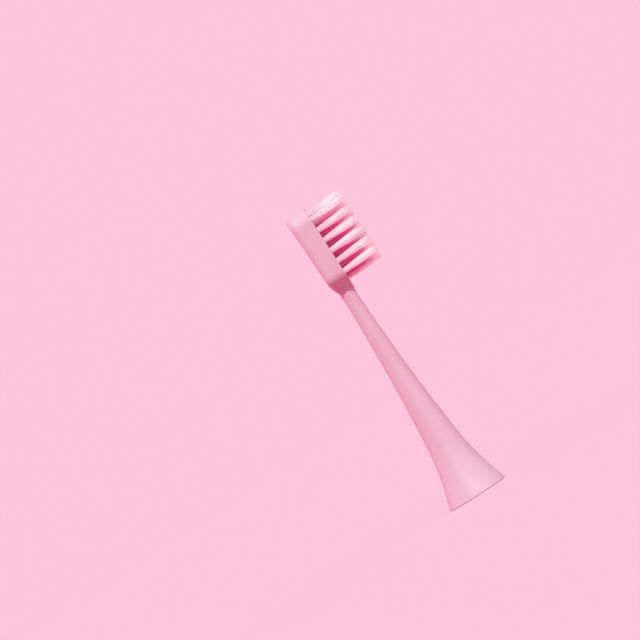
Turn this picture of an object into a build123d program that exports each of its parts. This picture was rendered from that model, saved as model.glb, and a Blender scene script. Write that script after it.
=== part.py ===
"""Electric toothbrush head: moulded body with a hollow skirt, drive socket, spring and anchored tufts.

The head stands on its skirt rim. Z runs up the drive axis from the rim to the toe of the head, the
bristles point along +X and the head's width lies along Y. All sizes are in millimetres.
"""

import math
import os

from build123d import *

# Skirt and neck: height above the rim and diameter at each station of the turned form, and the
# flare, which stands in from the rim
RIM_DIAMETER = 16.2
RIM_CHAMFER = 0.2
FLARE_HEIGHT = 4.5
FLARE_INSET = 1.3
WAIST_HEIGHT = 16.0
WAIST_DIAMETER = 8.95
MID_NECK_HEIGHT = 40.0
MID_NECK_DIAMETER = 5.2
NECK_HEIGHT = 58.5
NECK_DIAMETER = 3.8

# Root, where the neck swells into the head but stays below the bristle face
ROOT_LENGTH = 3.9
ROOT_SWELL = 0.25
ROOT_ROUND = 0.6

# Hollow of the skirt
SKIRT_WALL = 1.2
SKIRT_DEPTH = 8.0

# Tuft field: columns across the head, rows along it, every second column shifted by half a row
COLUMN_SPACING = 2.1
ROW_SPACING = 3.03
LONG_COLUMN_ROWS = 7
HEEL_LENGTH = 4.85
HOLE_DIAMETER = 1.6
HOLE_DEPTH = 3.4
HOLE_SIDES = 8

# Head plate around the tuft field
FACE_STEP = 0.3
HEAD_FLOOR = 2.35
SIDE_MARGIN = 1.7
TOE_MARGIN = 2.16
TOE_CORNER_RADIUS = 4.2
SHOULDER_DROP = 0.6
SHOULDER_ANGLE = 50.0
SHOULDER_RADIUS = 2.8
HEEL_WIDTH = 1.8
HEEL_RADIUS = 1.5
BACK_TAPER = 1.2
BACK_ROUND = 1.5
FACE_ROUND = 0.3

# Knee where the back of the plate bends in towards the root
BACK_KNEE_RISE = 4.5
BACK_KNEE_RADIUS = 6.0
HEEL_DEPTH = 1.5

# Bristles and their anchors
TUFT_LENGTH = 9.7
TIP_DIAMETER = 2.2
TRIM_ANGLE = 2.0
TRIM_ALLOWANCE = 1.0
TOE_LEAN = 3.0
HEEL_LEAN = 0.0
SIDE_LEAN = 2.0
TUFT_CLEARANCE = 0.02
ANCHOR_HEIGHT = 1.5
ANCHOR_THICKNESS = 0.3
ANCHOR_CLEARANCE = 0.01
FOLD_THICKNESS = 0.35

# Drive socket and its spring
SHAFT_DIAMETER = 4.0
SHAFT_CLEARANCE = 0.05
SHAFT_FLAT_DEPTH = 0.5
GUIDE_DIAMETER = 4.6
GUIDE_LENGTH = 5.0
GUIDE_LEAD = 0.3
GRIP_LENGTH = 9.0
SOCKET_WALL = 0.95
SOCKET_END_WALL = 1.2
SOCKET_LEAD = 0.4
FLANGE_DIAMETER = 8.8
FLANGE_THICKNESS = 1.2
SEAT_CLEARANCE = 0.05
KEY_WIDTH = 1.2
KEY_HEIGHT = 0.4
KEY_LENGTH = 9.0
SPRING_WIDTH = 2.2
SPRING_THICKNESS = 0.25
SPRING_LENGTH = 6.8
SPRING_REACH = 0.2
SPRING_CLEARANCE = 0.1

# How far a cutting outline reaches past the stock, and how squarely a face of the plate looks along X
CUT_SPARE = 0.5
FACING = 0.5

# Places worked out from the sizes above
face_x = NECK_DIAMETER / 2 + FACE_STEP
head_thickness = HOLE_DEPTH + HEAD_FLOOR
head_half_width = 2 * COLUMN_SPACING + SIDE_MARGIN
field_bottom = NECK_HEIGHT + HEEL_LENGTH
field_top = field_bottom + (LONG_COLUMN_ROWS - 1) * ROW_SPACING
field_middle = (field_bottom + field_top) / 2
toe_height = field_top + TOE_MARGIN
shoulder_height = field_bottom + ROW_SPACING / 2 - SHOULDER_DROP
shoulder_fall = (head_half_width - HEEL_WIDTH / 2) / math.tan(math.radians(SHOULDER_ANGLE))
heel_height = shoulder_height - shoulder_fall
back_x = face_x - head_thickness
back_slope = math.tan(math.radians(BACK_TAPER))
back_knee = NECK_HEIGHT + BACK_KNEE_RISE
plate_foot = heel_height - CUT_SPARE

bore_radius = SHAFT_DIAMETER / 2 + SHAFT_CLEARANCE
socket_radius = bore_radius + SOCKET_WALL
core_radius = socket_radius + SEAT_CLEARANCE
socket_bottom = SKIRT_DEPTH - FLANGE_THICKNESS
grip_bottom = socket_bottom + GUIDE_LENGTH
grip_top = grip_bottom + GRIP_LENGTH
socket_top = grip_top + SOCKET_END_WALL
spring_middle = (grip_bottom + grip_top) / 2
slot_length = SPRING_LENGTH + 2 * SPRING_CLEARANCE

# An anchor reaches across its hole between two opposite flats, above the fold of the bundle
anchor_turn = 180 / HOLE_SIDES
anchor_width = HOLE_DIAMETER * math.cos(math.pi / HOLE_SIDES) - 2 * ANCHOR_CLEARANCE

# Sketch plane of the bristle face: its own x runs across the head, its own y up the brush
face_plane = Plane(origin=(face_x, 0, 0), x_dir=(0, 1, 0), z_dir=(1, 0, 0))


def column_sites(column):
    """Places of the tufts in one column, counted from -2 to 2 across the head, from heel to toe."""
    shifted = column % 2 == 0
    rows = LONG_COLUMN_ROWS - 1 if shifted else LONG_COLUMN_ROWS
    first = field_bottom + (ROW_SPACING / 2 if shifted else 0)
    return [(column * COLUMN_SPACING, first + row * ROW_SPACING) for row in range(rows)]


def outer_edges(patch):
    """Edges around a patch of faces, leaving out those that two of its faces share."""
    borders = [edge for face in patch for edge in face.edges()]
    return [edge for edge in borders if sum(edge.is_same(other) for other in borders) == 1]


COLUMN_NAMES = {
    -2: "tuft_near_outer",
    -1: "tuft_near_inner",
    0: "tuft_centre",
    1: "tuft_far_inner",
    2: "tuft_far_outer",
}
all_sites = [site for column in COLUMN_NAMES for site in column_sites(column)]


# Brush body: head plate, neck and skirt in one moulding
with BuildPart() as brush_body:
    # Head plate: its side outline, with a relief that runs the back down into the root
    with BuildSketch(Plane.XZ):
        with BuildLine():
            back_line = FilletPolyline(
                (back_x - back_slope * CUT_SPARE, toe_height + CUT_SPARE),
                (back_x + back_slope * (toe_height - back_knee), back_knee),
                (-HEEL_DEPTH, plate_foot),
                radius=BACK_KNEE_RADIUS,
            )
            Polyline(
                back_line @ 0,
                (face_x, toe_height + CUT_SPARE),
                (face_x, plate_foot),
                back_line @ 1,
            )
        make_face()
    extrude(amount=head_half_width + CUT_SPARE, both=True)

    # The plate keeps what its front outline covers
    with BuildSketch(face_plane.offset(CUT_SPARE)):
        with BuildLine():
            FilletPolyline(
                (-head_half_width, toe_height),
                (head_half_width, toe_height),
                (head_half_width, shoulder_height),
                (HEEL_WIDTH / 2, heel_height),
                (-HEEL_WIDTH / 2, heel_height),
                (-head_half_width, shoulder_height),
                radius=[
                    TOE_CORNER_RADIUS,
                    TOE_CORNER_RADIUS,
                    SHOULDER_RADIUS,
                    HEEL_RADIUS,
                    HEEL_RADIUS,
                    SHOULDER_RADIUS,
                ],
                close=True,
            )
        make_face()
    extrude(amount=-head_thickness - 2 * CUT_SPARE, mode=Mode.INTERSECT)
    back_faces = faces().filter_by(lambda face: face.normal_at().X < -FACING)
    fillet(outer_edges(back_faces), radius=BACK_ROUND)
    front_faces = faces().filter_by(lambda face: face.normal_at().X > FACING)
    fillet(outer_edges(front_faces), radius=FACE_ROUND)

    # Skirt, neck and root, turned about the drive axis
    root_height = NECK_HEIGHT + ROOT_LENGTH
    with BuildSketch(Plane.XZ):
        with BuildLine():
            rim_line = Polyline(
                (0, 0),
                (RIM_DIAMETER / 2 - RIM_CHAMFER, 0),
                (RIM_DIAMETER / 2, RIM_CHAMFER),
                (RIM_DIAMETER / 2 - FLARE_INSET, FLARE_HEIGHT),
            )
            flare_arc = TangentArc(
                rim_line @ 1,
                (WAIST_DIAMETER / 2, WAIST_HEIGHT),
                tangent=rim_line % 1,
            )
            waist_arc = TangentArc(
                flare_arc @ 1,
                (MID_NECK_DIAMETER / 2, MID_NECK_HEIGHT),
                tangent=flare_arc % 1,
            )
            neck_arc = TangentArc(
                waist_arc @ 1,
                (NECK_DIAMETER / 2, NECK_HEIGHT),
                tangent=waist_arc % 1,
            )
            Polyline(
                neck_arc @ 1,
                (NECK_DIAMETER / 2 + ROOT_SWELL, root_height),
                (0, root_height),
                rim_line @ 0,
            )
        make_face()
    revolve(axis=Axis.Z)
    root_face = faces().filter_by(GeomType.CONE).sort_by(Axis.Z)[-1]
    root_edges = root_face.edges().filter_by(lambda edge: edge.center().Z > heel_height)
    fillet(root_edges, radius=ROOT_ROUND)

    # Hollow skirt and the core that takes the drive socket
    with BuildSketch(Plane.XZ):
        with BuildLine():
            Polyline(
                (0, 0),
                (RIM_DIAMETER / 2 - SKIRT_WALL, 0),
                (FLANGE_DIAMETER / 2 + SEAT_CLEARANCE, SKIRT_DEPTH),
                (core_radius, SKIRT_DEPTH),
                (core_radius, socket_top + SEAT_CLEARANCE),
                (0, socket_top + SEAT_CLEARANCE),
                close=True,
            )
        make_face()
    revolve(axis=Axis.Z, mode=Mode.SUBTRACT)
    with BuildSketch(Plane.XY.offset(SKIRT_DEPTH)):
        Rectangle(KEY_WIDTH + 2 * SEAT_CLEARANCE, 2 * (core_radius + KEY_HEIGHT))
    extrude(amount=KEY_LENGTH + SEAT_CLEARANCE, mode=Mode.SUBTRACT)

    # Blind tuft holes
    with BuildSketch(face_plane):
        with Locations(all_sites):
            RegularPolygon(HOLE_DIAMETER / 2, HOLE_SIDES)
    extrude(amount=-HOLE_DEPTH, mode=Mode.SUBTRACT)

# Drive socket: flanged sleeve with a round guide, a D-shaped grip, two keys and a slot for the spring
with BuildPart() as drive_socket:
    with BuildSketch(Plane.XY.offset(socket_bottom)):
        Circle(FLANGE_DIAMETER / 2)
    extrude(amount=FLANGE_THICKNESS)
    with BuildSketch(Plane.XY.offset(SKIRT_DEPTH)):
        Circle(socket_radius)
    extrude(amount=socket_top - SKIRT_DEPTH)
    chamfer(edges().filter_by(GeomType.CIRCLE).sort_by(Axis.Z)[-1], length=SOCKET_LEAD)
    with BuildSketch(Plane.XY.offset(SKIRT_DEPTH)):
        Rectangle(KEY_WIDTH, 2 * (socket_radius + KEY_HEIGHT))
    extrude(amount=KEY_LENGTH)
    with BuildSketch(Plane.XY.offset(socket_bottom)):
        Circle(GUIDE_DIAMETER / 2)
    extrude(amount=GUIDE_LENGTH, mode=Mode.SUBTRACT)
    mouth = edges().filter_by(GeomType.CIRCLE).group_by(Axis.Z)[0].sort_by(SortBy.RADIUS)[0]
    chamfer(mouth, length=GUIDE_LEAD)
    with BuildSketch(Plane.XY.offset(grip_bottom)):
        Circle(bore_radius)
        with Locations((2 * bore_radius - SHAFT_FLAT_DEPTH, 0)):
            Rectangle(2 * bore_radius, 2 * bore_radius, mode=Mode.SUBTRACT)
    extrude(amount=GRIP_LENGTH, mode=Mode.SUBTRACT)
    with BuildSketch(Plane.XY.offset(spring_middle - slot_length / 2)):
        with Locations((-socket_radius, 0)):
            Rectangle(2 * socket_radius, SPRING_WIDTH + 2 * SPRING_CLEARANCE)
    extrude(amount=slot_length, mode=Mode.SUBTRACT)

# Retaining spring: a leaf bowed into the grip, its two ends against the wall of the body's core
with BuildPart() as retaining_spring:
    spring_seat = math.sqrt(core_radius**2 - (SPRING_WIDTH / 2) ** 2) - SEAT_CLEARANCE
    spring_crest = bore_radius - SPRING_REACH
    with BuildSketch(Plane.XZ):
        with BuildLine():
            outside = ThreePointArc(
                (-spring_seat, spring_middle - SPRING_LENGTH / 2),
                (-spring_crest - SPRING_THICKNESS, spring_middle),
                (-spring_seat, spring_middle + SPRING_LENGTH / 2),
            )
            inside = ThreePointArc(
                outside @ 0 + (SPRING_THICKNESS, 0),
                outside @ 0.5 + (SPRING_THICKNESS, 0),
                outside @ 1 + (SPRING_THICKNESS, 0),
            )
            Line(outside @ 0, inside @ 0)
            Line(outside @ 1, inside @ 1)
        make_face()
    extrude(amount=SPRING_WIDTH / 2, both=True)

# Tuft anchors: one flat staple across each hole
with BuildPart() as tuft_anchors:
    with BuildSketch(face_plane.offset(FOLD_THICKNESS - HOLE_DEPTH)):
        with Locations(all_sites):
            Rectangle(anchor_width, ANCHOR_THICKNESS, rotation=anchor_turn)
    extrude(amount=ANCHOR_HEIGHT)

# Plane that the bristle tips are trimmed to, a little lower at the toe than at the heel
trim_tilt = math.radians(TRIM_ANGLE)
trim_plane = Plane(
    origin=(face_x + TUFT_LENGTH, 0, field_middle),
    z_dir=(math.cos(trim_tilt), 0, math.sin(trim_tilt)),
)


def bundle_ring(across, up, depth, radius):
    """Corners of a bundle's outline, at a depth in front of the bristle face."""
    turns = [2 * math.pi * corner / HOLE_SIDES for corner in range(HOLE_SIDES)]
    return [
        (face_x + depth, across + radius * math.cos(turn), up + radius * math.sin(turn))
        for turn in turns
    ]


def bundle_sides(low_ring, high_ring):
    """Flat faces that join two rings, corner to corner."""
    strips = zip(low_ring, low_ring[1:] + low_ring[:1], high_ring[1:] + high_ring[:1], high_ring)
    return [Face(Wire.make_polygon(corners)) for corners in strips]


def make_tuft(across, up):
    """One bundle of bristle: a shank folded round its anchor, then a leaning spread to the trimmed tips."""
    shank_radius = HOLE_DIAMETER / 2 - TUFT_CLEARANCE
    spread_length = TUFT_LENGTH + TRIM_ALLOWANCE
    toe_share = (up - field_bottom) / (field_top - field_bottom)
    lean_up = math.radians(HEEL_LEAN + (TOE_LEAN - HEEL_LEAN) * toe_share)
    lean_across = math.radians(SIDE_LEAN * across / (2 * COLUMN_SPACING))
    tip_across = across + spread_length * math.tan(lean_across)
    tip_up = up + spread_length * math.tan(lean_up)

    fold_ring = bundle_ring(across, up, TUFT_CLEARANCE - HOLE_DEPTH, shank_radius)
    mouth_ring = bundle_ring(across, up, 0, shank_radius)
    tip_ring = bundle_ring(tip_across, tip_up, spread_length, TIP_DIAMETER / 2)
    ends = [Face(Wire.make_polygon(ring)) for ring in (fold_ring, tip_ring)]
    sides = bundle_sides(fold_ring, mouth_ring) + bundle_sides(mouth_ring, tip_ring)
    with BuildPart() as tuft:
        add(Solid(Shell(ends + sides)))
        split(bisect_by=trim_plane, keep=Keep.BOTTOM)
        with BuildSketch(face_plane.offset(FOLD_THICKNESS - HOLE_DEPTH - ANCHOR_CLEARANCE)):
            with Locations((across, up)):
                Rectangle(
                    2 * HOLE_DIAMETER,
                    ANCHOR_THICKNESS + 2 * ANCHOR_CLEARANCE,
                    rotation=anchor_turn,
                )
        extrude(amount=ANCHOR_HEIGHT + 2 * ANCHOR_CLEARANCE, mode=Mode.SUBTRACT)
    return tuft.part


os.makedirs("parts", exist_ok=True)

brush_body.part.label = "brush_body"
export_step(brush_body.part, "parts/brush_body.step")
drive_socket.part.label = "drive_socket"
export_step(drive_socket.part, "parts/drive_socket.step")
retaining_spring.part.label = "retaining_spring"
export_step(retaining_spring.part, "parts/retaining_spring.step")
tuft_anchors.part.label = "tuft_anchors"
export_step(tuft_anchors.part, "parts/tuft_anchors.step")

for column, column_name in COLUMN_NAMES.items():
    for number, (across, up) in enumerate(column_sites(column), start=1):
        tuft = make_tuft(across, up)
        tuft.label = f"{column_name}_{number}"
        export_step(tuft, f"parts/{tuft.label}.step")
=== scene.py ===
# %% [markdown]
# # An electric toothbrush head
# A refill head is one pink moulding with a hollow skirt, a slim neck and a flat plate full of bristle tufts.
# The CAD model gives every solid its place and size. This lesson adds what a maker sees up close: almost two
# thousand nylon filaments, the satin skin of the moulding, and light that shows both.

import math

import bmesh
import bpy
import numpy as np
from mathutils import Matrix, Vector


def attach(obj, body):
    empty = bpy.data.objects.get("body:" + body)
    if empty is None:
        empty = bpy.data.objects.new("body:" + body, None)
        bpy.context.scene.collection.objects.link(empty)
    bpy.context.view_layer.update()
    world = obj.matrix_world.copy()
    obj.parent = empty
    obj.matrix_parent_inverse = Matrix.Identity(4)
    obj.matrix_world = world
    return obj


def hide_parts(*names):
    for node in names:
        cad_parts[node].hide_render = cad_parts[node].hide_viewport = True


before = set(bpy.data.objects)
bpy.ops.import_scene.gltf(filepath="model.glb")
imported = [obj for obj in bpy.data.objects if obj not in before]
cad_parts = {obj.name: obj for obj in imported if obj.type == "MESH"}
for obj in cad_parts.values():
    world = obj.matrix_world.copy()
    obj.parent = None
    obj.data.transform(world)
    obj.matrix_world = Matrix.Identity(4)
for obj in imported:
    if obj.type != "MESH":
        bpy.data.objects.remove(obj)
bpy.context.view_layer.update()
print(len(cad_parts), "CAD nodes loaded")

# %% [markdown]
# ## Metres and millimetres
# Blender works in metres here, because the frame does. A head is described in millimetres, so one factor
# turns the sizes below into metres and, for printing, back again. No other scale is used anywhere.

# %% Units
MM = 0.001


def in_mm(lengths, digits=2):
    """Lengths in metres, as plain rounded numbers of millimetres."""
    return (np.array(lengths) / MM).round(digits).tolist()


# %% [markdown]
# ## Materials from noise
# Moulded plastic is never one flat colour: the pigment drifts a little and the tool leaves a fine grain.
# A picture could be wrapped round the part, but noise on Object coordinates needs no picture and no seams.
# Every number that is the same all over goes straight onto the shader's own socket.

# %% Helpers for a surface and for a ramp of colours
def new_surface(name, sockets):
    """New material and its Principled surface, with constants on the surface's own sockets.

    A socket's name is written with underscores in place of its spaces.
    """
    material = bpy.data.materials.new(name)
    material.use_nodes = True
    surface = material.node_tree.nodes["Principled BSDF"]
    for socket, value in sockets.items():
        surface.inputs[socket.replace("_", " ")].default_value = value
    return material, surface


def colour_ramp(nodes, stops):
    """Ramp through the given stops, which are pairs of position and colour in rising order."""
    ramp = nodes.new("ShaderNodeValToRGB")
    elements = ramp.color_ramp.elements
    for position, _ in stops[1:-1]:
        elements.new(position)
    for element, (position, colour) in zip(elements, stops):
        element.position = position
        element.color = (*colour, 1)
    return ramp


# %% Helper for a material with drifting colour and fine grain
DRIFT_DETAIL, GRAIN_DETAIL = 3.0, 2.0
DEEP_UP_TO, LIGHT_FROM = 0.3, 0.7


def grained_material(name, light, deep, drift_size, grain_size, grain_depth, **sockets):
    """Principled surface whose colour drifts between two tones and whose skin has a fine grain.

    Noise of drift_size (mm) picks a tone between deep and light. Noise of grain_size (mm) is a height that
    bends the normal, grain_depth (mm) from its lowest to its highest point. Further sockets are constants.
    """
    material, surface = new_surface(name, sockets)
    nodes, links = material.node_tree.nodes, material.node_tree.links
    place = nodes.new("ShaderNodeTexCoord")
    drift = nodes.new("ShaderNodeTexNoise")
    drift.inputs["Scale"].default_value = 1 / (drift_size * MM)
    drift.inputs["Detail"].default_value = DRIFT_DETAIL
    tones = colour_ramp(nodes, [(DEEP_UP_TO, deep), (LIGHT_FROM, light)])
    grain = nodes.new("ShaderNodeTexNoise")
    grain.inputs["Scale"].default_value = 1 / (grain_size * MM)
    grain.inputs["Detail"].default_value = GRAIN_DETAIL
    bump = nodes.new("ShaderNodeBump")
    bump.inputs["Strength"].default_value = 1.0
    bump.inputs["Distance"].default_value = grain_depth * MM
    links.new(place.outputs["Object"], drift.inputs["Vector"])
    links.new(place.outputs["Object"], grain.inputs["Vector"])
    links.new(drift.outputs["Fac"], tones.inputs["Fac"])
    links.new(tones.outputs["Color"], surface.inputs["Base Color"])
    links.new(grain.outputs["Fac"], bump.inputs["Height"])
    links.new(bump.outputs["Normal"], surface.inputs["Normal"])
    print("material", name, "with grain of", grain_size, "mm")
    return material


# %% [markdown]
# ## The pink moulding
# The body is one shot of pink plastic with a satin skin: soft, wide highlights and hardly any mirror.
# The solid has the right form, but its triangles are loose, so each would catch the light by itself.
# A welded copy shades smoothly over the curves and keeps crisp edges where two faces meet at an angle.

# %% Weld a smooth copy of the body
CREASE_ANGLE = math.radians(28)
WELD_REACH = 0.0005 * MM


def welded_copy(node, name):
    """Copy of a CAD solid with corners merged that lie within WELD_REACH of each other.

    It is shaded smooth everywhere but at the edges where its faces turn by more than CREASE_ANGLE.
    """
    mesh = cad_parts[node].data.copy()
    mesh.name = name
    if "custom_normal" in mesh.attributes:
        mesh.attributes.remove(mesh.attributes["custom_normal"])
    weld = bmesh.new()
    weld.from_mesh(mesh)
    bmesh.ops.remove_doubles(weld, verts=weld.verts, dist=WELD_REACH)
    weld.to_mesh(mesh)
    weld.free()
    mesh.shade_smooth()
    mesh.set_sharp_from_angle(angle=CREASE_ANGLE)
    copy = bpy.data.objects.new(name, mesh)
    bpy.context.scene.collection.objects.link(copy)
    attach(copy, "root")
    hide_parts(node)
    return copy


body_skin = welded_copy("brush_body", "body_skin")
print("body skin:", len(body_skin.data.vertices), "corners,", len(body_skin.data.polygons), "triangles")

# %% Satin pink finish
satin_pink = grained_material(
    "satin_pink",
    light=(0.765, 0.490, 0.608),
    deep=(0.745, 0.472, 0.590),
    drift_size=6.0,
    grain_size=0.12,
    grain_depth=0.004,
    Roughness=0.56,
    IOR=1.46,
)
body_skin.data.materials.clear()
body_skin.data.materials.append(satin_pink)
print("body skin wears", satin_pink.name)

# %% [markdown]
# ## Where the tufts stand
# A tuft is a bundle of nylon filaments, folded over a small metal staple and shot into a blind hole.
# Its CAD solid is a flat-sided bundle, so the solid's own corners tell where the bundle stands in its hole,
# where its trimmed tips end and how far they spread. Reading them keeps each bundle on its hole.

# %% Read the axis of each tuft from its solid
BRISTLE_FACE = 2.2 * MM
FOOT_SPARE = 0.01 * MM
CORNER_DIGITS = 7
tuft_names = sorted(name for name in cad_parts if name.startswith("tuft_") and name != "tuft_anchors")


def tuft_axis(node):
    """Foot and tip of a bundle's axis, and the radius of its tips.

    The corners within FOOT_SPARE of the least x lie on the hole's floor, and those past half the bristle's
    height lie on the trimmed end. The mean of each set is a point of the axis. The tips' radius is their mean
    distance from it.
    """
    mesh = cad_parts[node].data
    corners = np.empty(len(mesh.vertices) * 3)
    mesh.vertices.foreach_get("co", corners)
    corners = np.unique(corners.reshape(-1, 3).round(CORNER_DIGITS), axis=0)
    low, high = corners[:, 0].min(), corners[:, 0].max()
    foot = corners[corners[:, 0] < low + FOOT_SPARE].mean(axis=0)
    ends = corners[corners[:, 0] > (BRISTLE_FACE + high) / 2]
    tip = ends.mean(axis=0)
    return foot, tip, np.linalg.norm((ends - tip)[:, 1:], axis=1).mean()


axes = {name: tuft_axis(name) for name in tuft_names}
row_heights = [foot[2] for foot, _, _ in axes.values()]
heel_row, toe_row = min(row_heights), max(row_heights)
widest = max(radius for _, _, radius in axes.values())
print(len(axes), "tufts, tips spread to", in_mm(2 * widest), "mm")

# %% [markdown]
# ## A bundle of filaments
# Each filament is a thin rod with a rounded end. Hair particles would draw them, but they leave no mesh
# behind. Instead a few functions work out all the filaments of a bundle at once: the places of their feet on
# a sunflower spiral, the places of their tips, and the ring of points carried up between them.

# %% Sizes of the filaments
FILAMENT_RADIUS = 0.085 * MM
FILAMENTS = 56
SHANK_RADIUS = 0.69 * MM
STAPLE_GAP = 0.25 * MM
STAPLE_TURN = math.radians(22.5)
STAPLE_TOP = 1.5 * MM
GOLDEN_ANGLE = math.pi * (3 - math.sqrt(5))
print(FILAMENTS, "filaments in a tuft, each", in_mm(2 * FILAMENT_RADIUS), "mm thick")


# %% Places of the filaments across a bundle
def sunflower_disc(first_turn):
    """Places of the filaments on a disc of radius 1, and their distances from its middle.

    Filament k sits at k times the golden angle past the first turn, at radius sqrt((k + 1/2) / count), so
    that each has the same room.
    """
    order = np.arange(FILAMENTS)
    turn = order * GOLDEN_ANGLE + first_turn
    radius = np.sqrt((order + 0.5) / FILAMENTS)
    return np.stack([radius * np.cos(turn), radius * np.sin(turn)], axis=1), radius


def parted_disc(disc):
    """The same places, parted along the staple's plane to leave room for it.

    The distance v from the plane becomes gap + v (1 - gap). The place along it shrinks by the square root of
    (1 - new v squared) / (1 - v squared), so that the rim stays a circle.
    """
    along = np.array([math.cos(STAPLE_TURN), math.sin(STAPLE_TURN)])
    aside = np.array([-along[1], along[0]])
    u, v = disc @ along, disc @ aside
    gap = STAPLE_GAP / SHANK_RADIUS
    v_parted = np.where(v < 0, -1, 1) * (gap + np.abs(v) * (1 - gap))
    u_parted = u * np.sqrt((1 - v_parted**2) / (1 - v**2))
    return u_parted[:, None] * along + v_parted[:, None] * aside


# %% Sizes of the tips
TRIM_SLOPE = math.tan(math.radians(2.0))
END_DOME = 0.40 * MM
TIP_JITTER = 0.06 * MM
LENGTH_JITTER = 0.34 * MM
HEEL_REACH, TOE_REACH = 0.25 * MM, 0.65 * MM
HEEL_NOD = 0.6 * MM
TIP_FAN = 1.1
STRAY_SHARE = 0.05
STRAY_REACH = 0.6 * MM
HOLE_STATIONS, FREE_STATIONS = 2, 5
print("tips fan out", TIP_FAN, "times and nod by up to", in_mm(HEEL_NOD), "mm")


# %% Centre lines of the filaments
def centre_lines(foot, tip, tip_radius, chance):
    """Points of every filament's centre line, as filaments by stations by xyz, and the stations' heights.

    In the hole a filament stands straight on the parted disc. At the tips the disc is widened to TIP_FAN
    times the tips' radius, with a small random shift and a few strays. The tips nod towards the toe by
    HEEL_NOD at the heel, fading with the square of the way to the toe. A filament ends up to HEEL_REACH at
    the heel, or TOE_REACH at the toe, past the sloping trim plane. It is shorter towards the rim of the
    bundle by END_DOME times the radius squared, and by a random length. Between the mouth of the hole and
    the end, at the share s of the height, it follows a straight line plus a random bow times 4 s (1 - s).
    """
    toe_share = (foot[2] - heel_row) / (toe_row - heel_row)
    past_trim = HEEL_REACH + (TOE_REACH - HEEL_REACH) * toe_share
    tip = tip + np.array([past_trim, 0, HEEL_NOD * (1 - toe_share) ** 2])
    disc, radius = sunflower_disc(chance.uniform(0, 2 * math.pi))
    shank = parted_disc(disc) * SHANK_RADIUS + foot[1:]
    mouth = disc * SHANK_RADIUS + foot[1:]

    stray = chance.random(FILAMENTS) < STRAY_SHARE
    shift = chance.normal(0, TIP_JITTER, (FILAMENTS, 2)) + disc * (stray * STRAY_REACH)[:, None]
    ends = disc * (TIP_FAN * tip_radius - FILAMENT_RADIUS) + shift + tip[1:]
    reach = tip[0] - TRIM_SLOPE * (ends[:, 1] - tip[2]) - END_DOME * radius**2
    reach = reach - np.abs(chance.normal(0, LENGTH_JITTER, FILAMENTS))

    share = np.linspace(0, 1, FREE_STATIONS)
    bow = chance.normal(0, TIP_JITTER, (FILAMENTS, 1, 2)) * (share * (1 - share))[None, :, None] * 4
    free = mouth[:, None] + share[None, :, None] * (ends - mouth)[:, None] + bow
    free_x = BRISTLE_FACE + share[None] * (reach - BRISTLE_FACE)[:, None]
    hole = np.repeat(shank[:, None], HOLE_STATIONS, axis=1)
    hole_x = np.broadcast_to([foot[0], BRISTLE_FACE - STAPLE_TOP], (FILAMENTS, HOLE_STATIONS))
    x = np.concatenate([hole_x, free_x], axis=1)
    yz = np.concatenate([hole, free], axis=1)
    heights = np.concatenate([np.zeros(HOLE_STATIONS), share])
    return np.concatenate([x[..., None], yz], axis=2), heights


# %% Corners of the skin round the centre lines
RING_SIDES = 6
TAPER = np.array([1.0, 1.0, 1.0, 1.0, 1.0, 0.9, 0.4])
CAP_WIDTH, CAP_RISE, CROWN_RISE = 0.6, 0.6, 0.85


def filament_corners(lines):
    """Corners of a bundle's skin, as filaments by corners by xyz.

    Ring j of a filament is its centre plus the filament's radius there times (0, cos a, sin a) for equally
    spaced angles a. The radius follows TAPER. One more ring, CAP_WIDTH times as wide as the last, and a crown
    round the tip off: they stand CAP_RISE and CROWN_RISE times the last radius above it. The last two corners
    are the middle of the foot and the crown.
    """
    angle = np.arange(RING_SIDES) * 2 * math.pi / RING_SIDES
    circle = np.stack([np.zeros(RING_SIDES), np.cos(angle), np.sin(angle)], axis=1) * FILAMENT_RADIUS
    rings = lines[:, :, None] + circle * TAPER[:, None, None]
    rise = np.array([TAPER[-1] * FILAMENT_RADIUS, 0, 0])
    foot, tip = lines[:, :1], lines[:, -1:]
    cap = tip + circle * CAP_WIDTH * TAPER[-1] + CAP_RISE * rise
    crown = tip + CROWN_RISE * rise
    return np.concatenate([rings.reshape(len(lines), -1, 3), cap, foot, crown], axis=1)


# %% Faces of the skin
def filament_faces(count, per_rod):
    """Quads and triangles of a bundle's skin, as corner numbers.

    The corner of ring j, side i is j * sides + i, counted from the filament's own first corner. Quads join
    each ring to the next, and two fans close the foot and the crown. The same pattern of faces is repeated
    for every filament, per_rod corners further on.
    """
    rings = (per_rod - 2) // RING_SIDES
    row, side = np.meshgrid(np.arange(rings - 1), np.arange(RING_SIDES), indexing="ij")
    here, beside = row * RING_SIDES + side, row * RING_SIDES + (side + 1) % RING_SIDES
    walls = np.stack([here, beside, beside + RING_SIDES, here + RING_SIDES], axis=-1).reshape(-1, 4)
    first, last = np.arange(RING_SIDES), (rings - 1) * RING_SIDES + np.arange(RING_SIDES)
    foot_fan = np.stack([np.roll(first, -1), first, np.full(RING_SIDES, per_rod - 2)], axis=1)
    crown_fan = np.stack([last, np.roll(last, -1), np.full(RING_SIDES, per_rod - 1)], axis=1)
    offsets = (np.arange(count) * per_rod)[:, None, None]
    quads = (walls[None] + offsets).reshape(-1, 4)
    fans = (np.concatenate([foot_fan, crown_fan])[None] + offsets).reshape(-1, 3)
    return quads.tolist() + fans.tolist()


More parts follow.
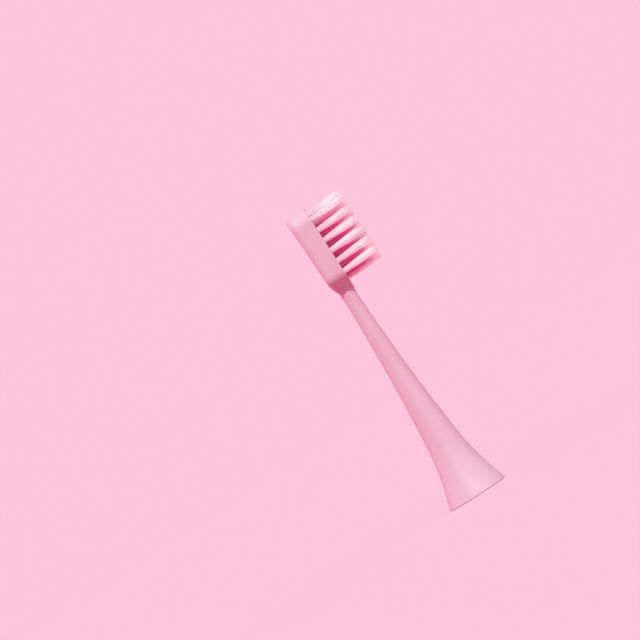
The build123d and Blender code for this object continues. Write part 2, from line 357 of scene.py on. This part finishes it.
# %% One mesh for a whole bundle
def filament_mesh(name, lines, heights, tones, painted_shades):
    """Skin of a bundle, with the height, the tone and the painted shade of each corner as attributes.

    A ring has its station's height, the cap and the crown have 1 and the foot has 0. Tone and painted shade
    are the same on all corners of a filament.
    """
    corners = filament_corners(lines)
    count, per_rod = corners.shape[:2]
    mesh = bpy.data.meshes.new(name)
    mesh.from_pydata(corners.reshape(-1, 3).tolist(), [], filament_faces(count, per_rod))
    share = np.concatenate([np.repeat(heights, RING_SIDES), np.ones(RING_SIDES), [0.0, 1.0]])
    carried = {
        "height": np.tile(share, count),
        "tone": np.repeat(tones, per_rod),
        "painted_shade": np.repeat(painted_shades, per_rod),
    }
    for attribute, values in carried.items():
        layer = mesh.attributes.new(attribute, "FLOAT", "POINT")
        layer.data.foreach_set("value", values.astype(np.float32))
    mesh.shade_smooth()
    mesh.validate()
    return mesh


# %% [markdown]
# ## Pink nylon
# Nylon filament is slightly clear. Light that reaches the middle of the bristle field has come through many
# filaments and has lost all but its pink, so the field looks almost white outside and deep pink between the
# tufts. Light falls from above, so the lower side of each tuft gets it through the tuft and is pinker too.
# Tracing that light through so many clear rods is slow and grainy, so it is painted into the colour instead:
# the deep pink inside the field, on each tuft's lower side and towards the roots is painted shade and painted
# light through the nylon. Attributes carry it: the height along a filament and how deep the filament stands
# in the field. A third gives each filament a tone of its own. The painted colours hold the shade, so the
# bundles themselves throw none.

# %% How deep each filament stands in the bristle field, which sets its painted shade
PALE_DEPTH, DEEP_DEPTH = 0.4 * MM, 1.9 * MM
HEEL_SHADE, FAR_SHADE = 0.9 * MM, 0.4 * MM
TOE_LIGHT = 0.4
feet = np.array([axes[name][0][1:] for name in tuft_names])
field_low = feet.min(axis=0) - SHANK_RADIUS
field_high = feet.max(axis=0) + SHANK_RADIUS


def field_painted_shade(places):
    """Share of painted shade, the deep colour, at places in the hole plane, 0 at the lit edges of the field
    and 1 inside.

    The distance to the nearest edge of the field's rectangle is scaled from PALE_DEPTH to DEEP_DEPTH, cut
    off at 0 and 1, and eased with 3 s^2 - 2 s^3. The heel end and the far side lie in shade, so there the
    distance counts from HEEL_SHADE and FAR_SHADE further out. The toe end faces the light: there it counts
    TOE_LIGHT times.
    """
    from_low = places - field_low + [0, HEEL_SHADE]
    from_high = (field_high - places) * [1, TOE_LIGHT] + [FAR_SHADE, 0]
    inside = np.minimum(from_low, from_high).min(axis=1)
    share = np.clip((inside - PALE_DEPTH) / (DEEP_DEPTH - PALE_DEPTH), 0, 1)
    return share**2 * (3 - 2 * share)


print("field in mm:", in_mm(field_low), "to", in_mm(field_high))

# %% Painted shade on each tuft's lower side
SIDE_START, SIDE_SLOPE = -0.24, 0.66


def side_painted_shade(places, foot):
    """Share of painted shade on a tuft's lower side, which grows by SIDE_SLOPE per radius below SIDE_START.
    """
    upward = (places[:, 1] - foot[2]) / SHANK_RADIUS
    return np.clip(SIDE_SLOPE * (SIDE_START - upward), 0, 1)


# %% Nylon finish
def nylon_material(name, pale_stops, painted_shade_stops, **sockets):
    """Principled surface with two ramps of colour over the height, a pale one and a deep one of painted
    shade, mixed by each corner's share of painted shade.

    Each filament's tone moves it a little up or down both ramps, so that neighbours differ. Further sockets
    are constants.
    """
    material, surface = new_surface(name, sockets)
    nodes, links = material.node_tree.nodes, material.node_tree.links
    height, tone, painted_shade = [nodes.new("ShaderNodeAttribute") for _ in range(3)]
    height.attribute_name, tone.attribute_name, painted_shade.attribute_name = "height", "tone", "painted_shade"
    toned = nodes.new("ShaderNodeMath")
    toned.operation = "ADD"
    pale, deep = colour_ramp(nodes, pale_stops), colour_ramp(nodes, painted_shade_stops)
    mix = nodes.new("ShaderNodeMix")
    mix.data_type = "RGBA"
    links.new(height.outputs["Fac"], toned.inputs[0])
    links.new(tone.outputs["Fac"], toned.inputs[1])
    links.new(toned.outputs["Value"], pale.inputs["Fac"])
    links.new(toned.outputs["Value"], deep.inputs["Fac"])
    links.new(painted_shade.outputs["Fac"], mix.inputs["Factor"])
    links.new(pale.outputs["Color"], mix.inputs["A"])
    links.new(deep.outputs["Color"], mix.inputs["B"])
    links.new(mix.outputs["Result"], surface.inputs["Base Color"])
    print("material", name, "with", len(pale_stops), "pale and", len(painted_shade_stops), "deep stops")
    return material


# %% Colours of the pink nylon, by height along the filament
pink_nylon = nylon_material(
    "pink_nylon",
    pale_stops=[
        (0.0, (0.89, 0.63, 0.75)),
        (0.5, (0.92, 0.85, 0.905)),
        (1.0, (0.90, 0.79, 0.84)),
    ],
    # The deep ramp is painted shade: darkest at the root, where the least light gets in, and pale towards the
    # tips
    painted_shade_stops=[
        (0.0, (0.46, 0.002, 0.095)),
        (0.25, (0.69, 0.017, 0.20)),
        (0.5, (0.74, 0.03, 0.245)),
        (0.75, (0.78, 0.16, 0.37)),
        (0.92, (0.86, 0.44, 0.58)),
        (1.0, (0.90, 0.70, 0.78)),
    ],
    Roughness=0.28,
    IOR=1.53,
    Specular_IOR_Level=0.3,
)

# %% Make every tuft
FIRST_SEED = 100
TONE_SPREAD = 0.08
for number, name in enumerate(tuft_names):
    chance = np.random.default_rng(FIRST_SEED + number)
    foot, tip, tip_radius = axes[name]
    lines, heights = centre_lines(foot, tip, tip_radius, chance)
    tones = chance.normal(0, TONE_SPREAD, FILAMENTS)
    mouths = lines[:, HOLE_STATIONS, 1:]
    # Painted shade: deep pink inside the bristle field and on each tuft's lower side
    painted_shades = np.maximum(field_painted_shade(mouths), side_painted_shade(mouths, foot))
    mesh = filament_mesh(name + "_filaments", lines, heights, tones, painted_shades)
    bundle = bpy.data.objects.new(name + "_filaments", mesh)
    bpy.context.scene.collection.objects.link(bundle)
    bundle.visible_shadow = False
    mesh.materials.append(pink_nylon)
    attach(bundle, "root")
    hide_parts(name)
print(len(tuft_names), "bundles of", FILAMENTS, "filaments,", len(mesh.polygons), "faces each")

# %% [markdown]
# ## What the head holds inside
# Under the skirt sits a socket of natural white plastic with a bowed leaf of spring steel, and each tuft is
# pinned by a brass staple. Their solids have the right form already, so they only need finishes: matt white
# plastic with a grain, and two metals whose rolled skin is fine noise.

# %% Finishes of the inner pieces
socket_white = grained_material(
    "socket_white",
    light=(0.80, 0.79, 0.75),
    deep=(0.76, 0.75, 0.71),
    drift_size=3.0,
    grain_size=0.10,
    grain_depth=0.004,
    Roughness=0.5,
    IOR=1.48,
)
spring_steel = grained_material(
    "spring_steel",
    light=(0.62, 0.62, 0.63),
    deep=(0.55, 0.55, 0.57),
    drift_size=0.6,
    grain_size=0.05,
    grain_depth=0.002,
    Roughness=0.3,
    Metallic=1.0,
)
anchor_brass = grained_material(
    "anchor_brass",
    light=(0.78, 0.58, 0.28),
    deep=(0.70, 0.50, 0.22),
    drift_size=0.5,
    grain_size=0.05,
    grain_depth=0.002,
    Roughness=0.35,
    Metallic=1.0,
)

# %% Put the finishes on the inner pieces
inner_finishes = {
    "drive_socket": socket_white,
    "retaining_spring": spring_steel,
    "tuft_anchors": anchor_brass,
}
for node, finish in inner_finishes.items():
    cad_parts[node].data.materials.clear()
    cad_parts[node].data.materials.append(finish)
print("inner pieces:", ", ".join(inner_finishes))

# %% [markdown]
# ## Floor and backdrop
# The head is shown on a plain pale pink floor that runs into a backdrop of the same pink without an edge.
# One way is a huge curved sheet. Here the world simply has the floor's own lit colour for the camera.
# The floor keeps the head's shadow: its colour is a glow plus a diffuse part that needs the lamps.
# The light that it throws back is deep pink, which warms the undersides, and paler close to the rim.

# %% Colours of the pink set
SET_PINK = np.array([0.98, 0.558, 0.708])
SHADE_PINK = np.array([0.45, 0.04, 0.09])
SKY_FILL = np.array([0.47, 0.40, 0.41])
BOUNCE_PINK = (0.74, 0.13, 0.27)
NEAR_BOUNCE = (0.66, 0.39, 0.51)
print("lit floor and backdrop", SET_PINK.tolist(), "and with no light", SHADE_PINK.tolist())

# %% Lamps, and how brightly they light the floor
LAMPS = {
    "studio_sun": {
        "direction": np.array([0.038, -0.673, 0.737]),
        "level": 0.81,
        "colour": np.array([0.845, 1.0, 0.95]),
        "angle": math.radians(2),
    },
    "pink_card": {
        "direction": np.array([-0.93, 0.30, 0.20]),
        "level": 0.28,
        "colour": np.array([1.0, 0.32, 0.50]),
        "angle": math.radians(20),
    },
    "white_card": {
        "direction": np.array([0.93, -0.30, 0.20]),
        "level": 0.10,
        "colour": np.array([0.92, 1.0, 1.0]),
        "angle": math.radians(20),
    },
}
lamp_share = sum(lamp["level"] * lamp["direction"][2] * lamp["colour"] for lamp in LAMPS.values())
floor_diffuse = (SET_PINK - SHADE_PINK) / (lamp_share + SKY_FILL)
print("floor diffuse part", floor_diffuse.round(3).tolist())


# %% A switch between what is seen and what lights the head
def seen_or_lighting(tree, seen, lighting, output_type):
    """Gives rays that look the shader called seen, and rays that only carry light the one called lighting.

    Rays that look come from the camera, a mirror or clear plastic. The largest of the three Light Path
    switches is 1 for them and 0 for all others, and it mixes the two shaders into the tree's output.
    """
    path = tree.nodes.new("ShaderNodeLightPath")
    camera_or_gloss = tree.nodes.new("ShaderNodeMath")
    camera_or_gloss.operation = "MAXIMUM"
    any_view = tree.nodes.new("ShaderNodeMath")
    any_view.operation = "MAXIMUM"
    pick = tree.nodes.new("ShaderNodeMixShader")
    output = tree.nodes.new(output_type)
    tree.links.new(path.outputs["Is Camera Ray"], camera_or_gloss.inputs[0])
    tree.links.new(path.outputs["Is Glossy Ray"], camera_or_gloss.inputs[1])
    tree.links.new(camera_or_gloss.outputs["Value"], any_view.inputs[0])
    tree.links.new(path.outputs["Is Transmission Ray"], any_view.inputs[1])
    tree.links.new(any_view.outputs["Value"], pick.inputs["Fac"])
    tree.links.new(lighting, pick.inputs[1])
    tree.links.new(seen, pick.inputs[2])
    tree.links.new(pick.outputs["Shader"], output.inputs["Surface"])


# %% Floor sheet
FLOOR_HALF = 6.0
FLOOR_DROP = 0.02 * MM
floor_outline = np.array([[-1, -1], [1, -1], [1, 1], [-1, 1]]) * FLOOR_HALF
floor_corners = np.column_stack([floor_outline, np.full(len(floor_outline), -FLOOR_DROP)])
floor_mesh = bpy.data.meshes.new("floor")
floor_mesh.from_pydata(floor_corners.tolist(), [], [[0, 1, 2, 3]])
floor = bpy.data.objects.new("floor", floor_mesh)
bpy.context.scene.collection.objects.link(floor)
print("floor", 2 * FLOOR_HALF, "m across")

# %% What the floor shows: a glow plus a diffuse part
floor_pink = bpy.data.materials.new("floor_pink")
floor_pink.use_nodes = True
floor_tree = floor_pink.node_tree
floor_tree.nodes.clear()
glow = floor_tree.nodes.new("ShaderNodeEmission")
glow.inputs["Color"].default_value = (*SHADE_PINK, 1)
matt = floor_tree.nodes.new("ShaderNodeBsdfDiffuse")
matt.inputs["Color"].default_value = (*floor_diffuse, 1)
shown = floor_tree.nodes.new("ShaderNodeAddShader")
floor_tree.links.new(glow.outputs["Emission"], shown.inputs[0])
floor_tree.links.new(matt.outputs["BSDF"], shown.inputs[1])
print("floor glow", SHADE_PINK.tolist())

# %% What the floor throws back: pale close to the rim, deep pink further out
NEAR_REACH, FAR_REACH = 14 * MM, 30 * MM
floor_place = floor_tree.nodes.new("ShaderNodeTexCoord")
from_axis = floor_tree.nodes.new("ShaderNodeVectorMath")
from_axis.operation = "LENGTH"
fade = floor_tree.nodes.new("ShaderNodeMapRange")
fade.inputs["From Min"].default_value = NEAR_REACH
fade.inputs["From Max"].default_value = FAR_REACH
thrown = floor_tree.nodes.new("ShaderNodeMix")
thrown.data_type = "RGBA"
thrown.inputs["A"].default_value = (*NEAR_BOUNCE, 1)
thrown.inputs["B"].default_value = (*BOUNCE_PINK, 1)
bounce = floor_tree.nodes.new("ShaderNodeBsdfDiffuse")
floor_tree.links.new(floor_place.outputs["Object"], from_axis.inputs[0])
floor_tree.links.new(from_axis.outputs["Value"], fade.inputs["Value"])
floor_tree.links.new(fade.outputs["Result"], thrown.inputs["Factor"])
floor_tree.links.new(thrown.outputs["Result"], bounce.inputs["Color"])
seen_or_lighting(floor_tree, shown.outputs["Shader"], bounce.outputs["BSDF"], "ShaderNodeOutputMaterial")
floor_mesh.materials.append(floor_pink)
print("floor throws back", NEAR_BOUNCE, "near the rim and", BOUNCE_PINK, "further out")

# %% Backdrop and fill light
world = bpy.data.worlds.new("pink_set")
world.use_nodes = True
sky_tree = world.node_tree
sky_tree.nodes.clear()
fill = sky_tree.nodes.new("ShaderNodeBackground")
fill.inputs["Color"].default_value = (*SKY_FILL, 1)
backdrop = sky_tree.nodes.new("ShaderNodeBackground")
backdrop.inputs["Color"].default_value = (*SET_PINK, 1)
seen_or_lighting(
    sky_tree, backdrop.outputs["Background"], fill.outputs["Background"], "ShaderNodeOutputWorld"
)
bpy.context.scene.world = world
print("backdrop", SET_PINK.tolist(), "fill", SKY_FILL.tolist())

# %% [markdown]
# ## A lamp and two cards
# The light comes from above the camera's shoulder. An area lamp would fade along the head. A sun lamp gives
# parallel light, so the level is the same on the toe and on the skirt, and its small angle softens the edge
# of the shadow. Two weak ones, ten times as wide, act as cards: a pink one warms the left edge of the neck,
# and a white one opens up the right edge and the tips.

# %% Lamps
def studio_lamp(name, direction, level, colour, angle):
    """Sun lamp shining from a direction, whose level is the brightness of a white surface facing it."""
    data = bpy.data.lights.new(name, "SUN")
    data.energy = level * math.pi
    data.color = colour.tolist()
    data.angle = angle
    lamp = bpy.data.objects.new(name, data)
    lamp.rotation_euler = Vector(direction).to_track_quat("Z", "Y").to_euler()
    bpy.context.scene.collection.objects.link(lamp)
    print("lamp", name, "at level", level)


for name, lamp in LAMPS.items():
    studio_lamp(name, **lamp)

# %% [markdown]
# ## Camera
# The head is seen from its side and leans to the left in the picture. The part itself stands upright in its
# frame, so the camera is rolled instead. A long lens keeps the neck's sides straight. The camera aims so that
# the middle of the rim lies RIM_RIGHT to the right of the picture's centre and RIM_DOWN below it.

# %% Camera
CAMERA_SIDE = Vector((0.024, -0.999, -0.025)).normalized()
LEAN = math.radians(32.8)
PICTURE_WIDTH = 160 * MM
LENS, SENSOR = 200.0, 36.0
RIM_RIGHT, RIM_DOWN = 39.43 * MM, 43.55 * MM
CLIP_NEAR, CLIP_FAR = 10 * MM, 50.0

axis_up = (Vector((0, 0, 1)) - CAMERA_SIDE * CAMERA_SIDE.z).normalized()
axis_right = axis_up.cross(CAMERA_SIDE)
picture_up = axis_up * math.cos(LEAN) + axis_right * math.sin(LEAN)
picture_right = axis_right * math.cos(LEAN) - axis_up * math.sin(LEAN)
distance = PICTURE_WIDTH * LENS / SENSOR
aim = picture_up * RIM_DOWN - picture_right * RIM_RIGHT
camera_data = bpy.data.cameras.new("camera")
camera_data.lens, camera_data.sensor_width = LENS, SENSOR
camera_data.clip_start, camera_data.clip_end = CLIP_NEAR, CLIP_FAR
camera = bpy.data.objects.new("camera", camera_data)
turn = Matrix((picture_right, picture_up, CAMERA_SIDE)).transposed()
camera.matrix_world = Matrix.Translation(aim + CAMERA_SIDE * distance) @ turn.to_4x4()
bpy.context.scene.collection.objects.link(camera)
bpy.context.scene.camera = camera
print("camera at", in_mm(camera.location, 1), "mm")

# %% [markdown]
# ## Colour view
# The dressed head should stay in the CAD box, apart from bristle ends that reach a little past it. The
# colours are shown with the Standard view transform.

# %% View transform
bpy.context.scene.view_settings.view_transform = "Standard"
bpy.context.view_layer.update()
